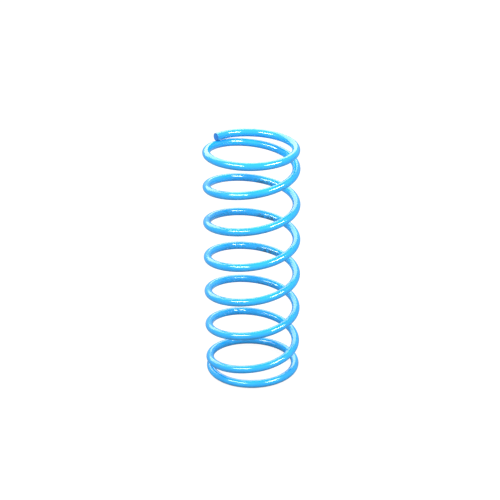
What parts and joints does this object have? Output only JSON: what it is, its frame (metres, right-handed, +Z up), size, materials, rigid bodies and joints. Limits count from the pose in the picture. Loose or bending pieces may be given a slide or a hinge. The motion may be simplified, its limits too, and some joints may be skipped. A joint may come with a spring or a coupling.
{
  "type": "suspension coil spring",
  "caption": "Round-wire suspension compression spring, wound right-hand, with closed unground ends and a blue coating; its wire twists so that the spring shortens.",
  "frame": {"origin": "centre of the base, on the spring's axis at the height of the bottom tip's underside", "axes": "+Z up along the spring's axis; +X to the right and -Y towards the front of the standing spring"},
  "size_m": [0.1472, 0.1472, 0.3789],
  "materials": {
    "blue_coated_steel": "glossy powder coat"
  },
  "bodies": {
    "bottom_end_coil": {"bottom_end_coil": "blue_coated_steel"},
    "coil_1_left": {"coil_1_left": "blue_coated_steel"},
    "coil_1_front": {"coil_1_front": "blue_coated_steel"},
    "coil_1_right": {"coil_1_right": "blue_coated_steel"},
    "coil_1_back": {"coil_1_back": "blue_coated_steel"},
    "coil_2_left": {"coil_2_left": "blue_coated_steel"},
    "coil_2_front": {"coil_2_front": "blue_coated_steel"},
    "coil_2_right": {"coil_2_right": "blue_coated_steel"},
    "coil_2_back": {"coil_2_back": "blue_coated_steel"},
    "coil_3_left": {"coil_3_left": "blue_coated_steel"},
    "coil_3_front": {"coil_3_front": "blue_coated_steel"},
    "coil_3_right": {"coil_3_right": "blue_coated_steel"},
    "coil_3_back": {"coil_3_back": "blue_coated_steel"},
    "coil_4_left": {"coil_4_left": "blue_coated_steel"},
    "coil_4_front": {"coil_4_front": "blue_coated_steel"},
    "coil_4_right": {"coil_4_right": "blue_coated_steel"},
    "coil_4_back": {"coil_4_back": "blue_coated_steel"},
    "coil_5_left": {"coil_5_left": "blue_coated_steel"},
    "coil_5_front": {"coil_5_front": "blue_coated_steel"},
    "coil_5_right": {"coil_5_right": "blue_coated_steel"},
    "coil_5_back": {"coil_5_back": "blue_coated_steel"},
    "coil_6_left": {"coil_6_left": "blue_coated_steel"},
    "coil_6_front": {"coil_6_front": "blue_coated_steel"},
    "coil_6_right": {"coil_6_right": "blue_coated_steel"},
    "coil_6_back": {"coil_6_back": "blue_coated_steel"},
    "top_end_coil": {"top_end_coil": "blue_coated_steel"}
  },
  "joints": [
    {"name": "compression", "type": "hinge", "parent": "bottom_end_coil", "child": "coil_1_left", "pos_m": [-0.04706, 0.04706, 0.01554], "axis": [0.7054, 0.7034, -0.0869], "range_deg": [0, 3.75], "stiffness_Nm_per_rad": 3058.7},
    {"name": "coil_1_front_twist", "type": "hinge", "parent": "coil_1_left", "child": "coil_1_front", "pos_m": [-0.04717, -0.04717, 0.02743], "axis": [-0.6999, 0.7018, -0.1326], "range_deg": [0, 4.5], "stiffness_Nm_per_rad": 3058.7},
    {"name": "coil_1_right_twist", "type": "hinge", "parent": "coil_1_front", "child": "coil_1_right", "pos_m": [0.04726, -0.04726, 0.04183], "axis": [-0.7014, -0.6996, -0.1363], "range_deg": [0, 9], "stiffness_Nm_per_rad": 1529.4},
    {"name": "coil_1_back_twist", "type": "hinge", "parent": "coil_1_right", "child": "coil_1_back", "pos_m": [0.04736, 0.04736, 0.05628], "axis": [0.6997, -0.7014, -0.1361], "range_deg": [0, 9], "stiffness_Nm_per_rad": 1529.4},
    {"name": "coil_2_left_twist", "type": "hinge", "parent": "coil_1_back", "child": "coil_2_left", "pos_m": [-0.04744, 0.04744, 0.07073], "axis": [0.7013, 0.6998, -0.1358], "range_deg": [0, 9], "stiffness_Nm_per_rad": 1529.4},
    {"name": "coil_2_front_twist", "type": "hinge", "parent": "coil_2_left", "child": "coil_2_front", "pos_m": [-0.04752, -0.04752, 0.08518], "axis": [-0.6999, 0.7013, -0.1356], "range_deg": [0, 9], "stiffness_Nm_per_rad": 1529.4},
    {"name": "coil_2_right_twist", "type": "hinge", "parent": "coil_2_front", "child": "coil_2_right", "pos_m": [0.04759, -0.04759, 0.09963], "axis": [-0.7012, -0.7, -0.1354], "range_deg": [0, 9], "stiffness_Nm_per_rad": 1529.4},
    {"name": "coil_2_back_twist", "type": "hinge", "parent": "coil_2_right", "child": "coil_2_back", "pos_m": [0.04765, 0.04765, 0.11408], "axis": [0.7001, -0.7011, -0.1353], "range_deg": [0, 9], "stiffness_Nm_per_rad": 1529.4},
    {"name": "coil_3_left_twist", "type": "hinge", "parent": "coil_2_back", "child": "coil_3_left", "pos_m": [-0.0477, 0.0477, 0.12853], "axis": [0.7011, 0.7002, -0.1351], "range_deg": [0, 9], "stiffness_Nm_per_rad": 1529.4},
    {"name": "coil_3_front_twist", "type": "hinge", "parent": "coil_3_left", "child": "coil_3_front", "pos_m": [-0.04774, -0.04774, 0.14298], "axis": [-0.7003, 0.701, -0.135], "range_deg": [0, 9], "stiffness_Nm_per_rad": 1529.4},
    {"name": "coil_3_right_twist", "type": "hinge", "parent": "coil_3_front", "child": "coil_3_right", "pos_m": [0.04777, -0.04777, 0.15743], "axis": [-0.7009, -0.7004, -0.1349], "range_deg": [0, 9], "stiffness_Nm_per_rad": 1529.4},
    {"name": "coil_3_back_twist", "type": "hinge", "parent": "coil_3_right", "child": "coil_3_back", "pos_m": [0.04779, 0.04779, 0.17188], "axis": [0.7005, -0.7008, -0.1349], "range_deg": [0, 9], "stiffness_Nm_per_rad": 1529.4},
    {"name": "coil_4_left_twist", "type": "hinge", "parent": "coil_3_back", "child": "coil_4_left", "pos_m": [-0.0478, 0.0478, 0.18633], "axis": [0.7007, 0.7006, -0.1348], "range_deg": [0, 9], "stiffness_Nm_per_rad": 1529.4},
    {"name": "coil_4_front_twist", "type": "hinge", "parent": "coil_4_left", "child": "coil_4_front", "pos_m": [-0.0478, -0.0478, 0.20078], "axis": [-0.7007, 0.7006, -0.1348], "range_deg": [0, 9], "stiffness_Nm_per_rad": 1529.4},
    {"name": "coil_4_right_twist", "type": "hinge", "parent": "coil_4_front", "child": "coil_4_right", "pos_m": [0.04778, -0.04778, 0.21523], "axis": [-0.7005, -0.7008, -0.1349], "range_deg": [0, 9], "stiffness_Nm_per_rad": 1529.4},
    {"name": "coil_4_back_twist", "type": "hinge", "parent": "coil_4_right", "child": "coil_4_back", "pos_m": [0.04776, 0.04776, 0.22968], "axis": [0.7009, -0.7004, -0.135], "range_deg": [0, 9], "stiffness_Nm_per_rad": 1529.4},
    {"name": "coil_5_left_twist", "type": "hinge", "parent": "coil_4_back", "child": "coil_5_left", "pos_m": [-0.04772, 0.04772, 0.24413], "axis": [0.7002, 0.701, -0.1351], "range_deg": [0, 9], "stiffness_Nm_per_rad": 1529.4},
    {"name": "coil_5_front_twist", "type": "hinge", "parent": "coil_5_left", "child": "coil_5_front", "pos_m": [-0.04768, -0.04768, 0.25858], "axis": [-0.7011, 0.7001, -0.1352], "range_deg": [0, 9], "stiffness_Nm_per_rad": 1529.4},
    {"name": "coil_5_right_twist", "type": "hinge", "parent": "coil_5_front", "child": "coil_5_right", "pos_m": [0.04762, -0.04762, 0.27303], "axis": [-0.7, -0.7012, -0.1353], "range_deg": [0, 9], "stiffness_Nm_per_rad": 1529.4},
    {"name": "coil_5_back_twist", "type": "hinge", "parent": "coil_5_right", "child": "coil_5_back", "pos_m": [0.04756, 0.04756, 0.28748], "axis": [0.7012, -0.6999, -0.1355], "range_deg": [0, 9], "stiffness_Nm_per_rad": 1529.4},
    {"name": "coil_6_left_twist", "type": "hinge", "parent": "coil_5_back", "child": "coil_6_left", "pos_m": [-0.04748, 0.04748, 0.30193], "axis": [0.6998, 0.7013, -0.1357], "range_deg": [0, 9], "stiffness_Nm_per_rad": 1529.4},
    {"name": "coil_6_front_twist", "type": "hinge", "parent": "coil_6_left", "child": "coil_6_front", "pos_m": [-0.0474, -0.0474, 0.31638], "axis": [-0.7013, 0.6997, -0.136], "range_deg": [0, 9], "stiffness_Nm_per_rad": 1529.4},
    {"name": "coil_6_right_twist", "type": "hinge", "parent": "coil_6_front", "child": "coil_6_right", "pos_m": [0.04731, -0.04731, 0.33083], "axis": [-0.6996, -0.7014, -0.1362], "range_deg": [0, 9], "stiffness_Nm_per_rad": 1529.4},
    {"name": "coil_6_back_twist", "type": "hinge", "parent": "coil_6_right", "child": "coil_6_back", "pos_m": [0.04722, 0.04722, 0.34528], "axis": [0.7014, -0.6996, -0.1365], "range_deg": [0, 4.5], "stiffness_Nm_per_rad": 3058.7},
    {"name": "top_end_coil_twist", "type": "hinge", "parent": "coil_6_back", "child": "top_end_coil", "pos_m": [-0.04712, 0.04712, 0.35916], "axis": [0.7017, 0.7036, -0.112], "range_deg": [0, 4.5], "stiffness_Nm_per_rad": 3058.7}
  ],
  "couplings": [
    {"joint": "coil_1_front_twist", "follows": "compression", "ratio": 1},
    {"joint": "coil_1_right_twist", "follows": "compression", "ratio": 2},
    {"joint": "coil_1_back_twist", "follows": "compression", "ratio": 2},
    {"joint": "coil_2_left_twist", "follows": "compression", "ratio": 2},
    {"joint": "coil_2_front_twist", "follows": "compression", "ratio": 2},
    {"joint": "coil_2_right_twist", "follows": "compression", "ratio": 2},
    {"joint": "coil_2_back_twist", "follows": "compression", "ratio": 2},
    {"joint": "coil_3_left_twist", "follows": "compression", "ratio": 2},
    {"joint": "coil_3_front_twist", "follows": "compression", "ratio": 2},
    {"joint": "coil_3_right_twist", "follows": "compression", "ratio": 2},
    {"joint": "coil_3_back_twist", "follows": "compression", "ratio": 2},
    {"joint": "coil_4_left_twist", "follows": "compression", "ratio": 2},
    {"joint": "coil_4_front_twist", "follows": "compression", "ratio": 2},
    {"joint": "coil_4_right_twist", "follows": "compression", "ratio": 2},
    {"joint": "coil_4_back_twist", "follows": "compression", "ratio": 2},
    {"joint": "coil_5_left_twist", "follows": "compression", "ratio": 2},
    {"joint": "coil_5_front_twist", "follows": "compression", "ratio": 2},
    {"joint": "coil_5_right_twist", "follows": "compression", "ratio": 2},
    {"joint": "coil_5_back_twist", "follows": "compression", "ratio": 2},
    {"joint": "coil_6_left_twist", "follows": "compression", "ratio": 2},
    {"joint": "coil_6_front_twist", "follows": "compression", "ratio": 2},
    {"joint": "coil_6_right_twist", "follows": "compression", "ratio": 2},
    {"joint": "coil_6_back_twist", "follows": "compression", "ratio": 1},
    {"joint": "top_end_coil_twist", "follows": "compression", "ratio": 1}
  ]
}
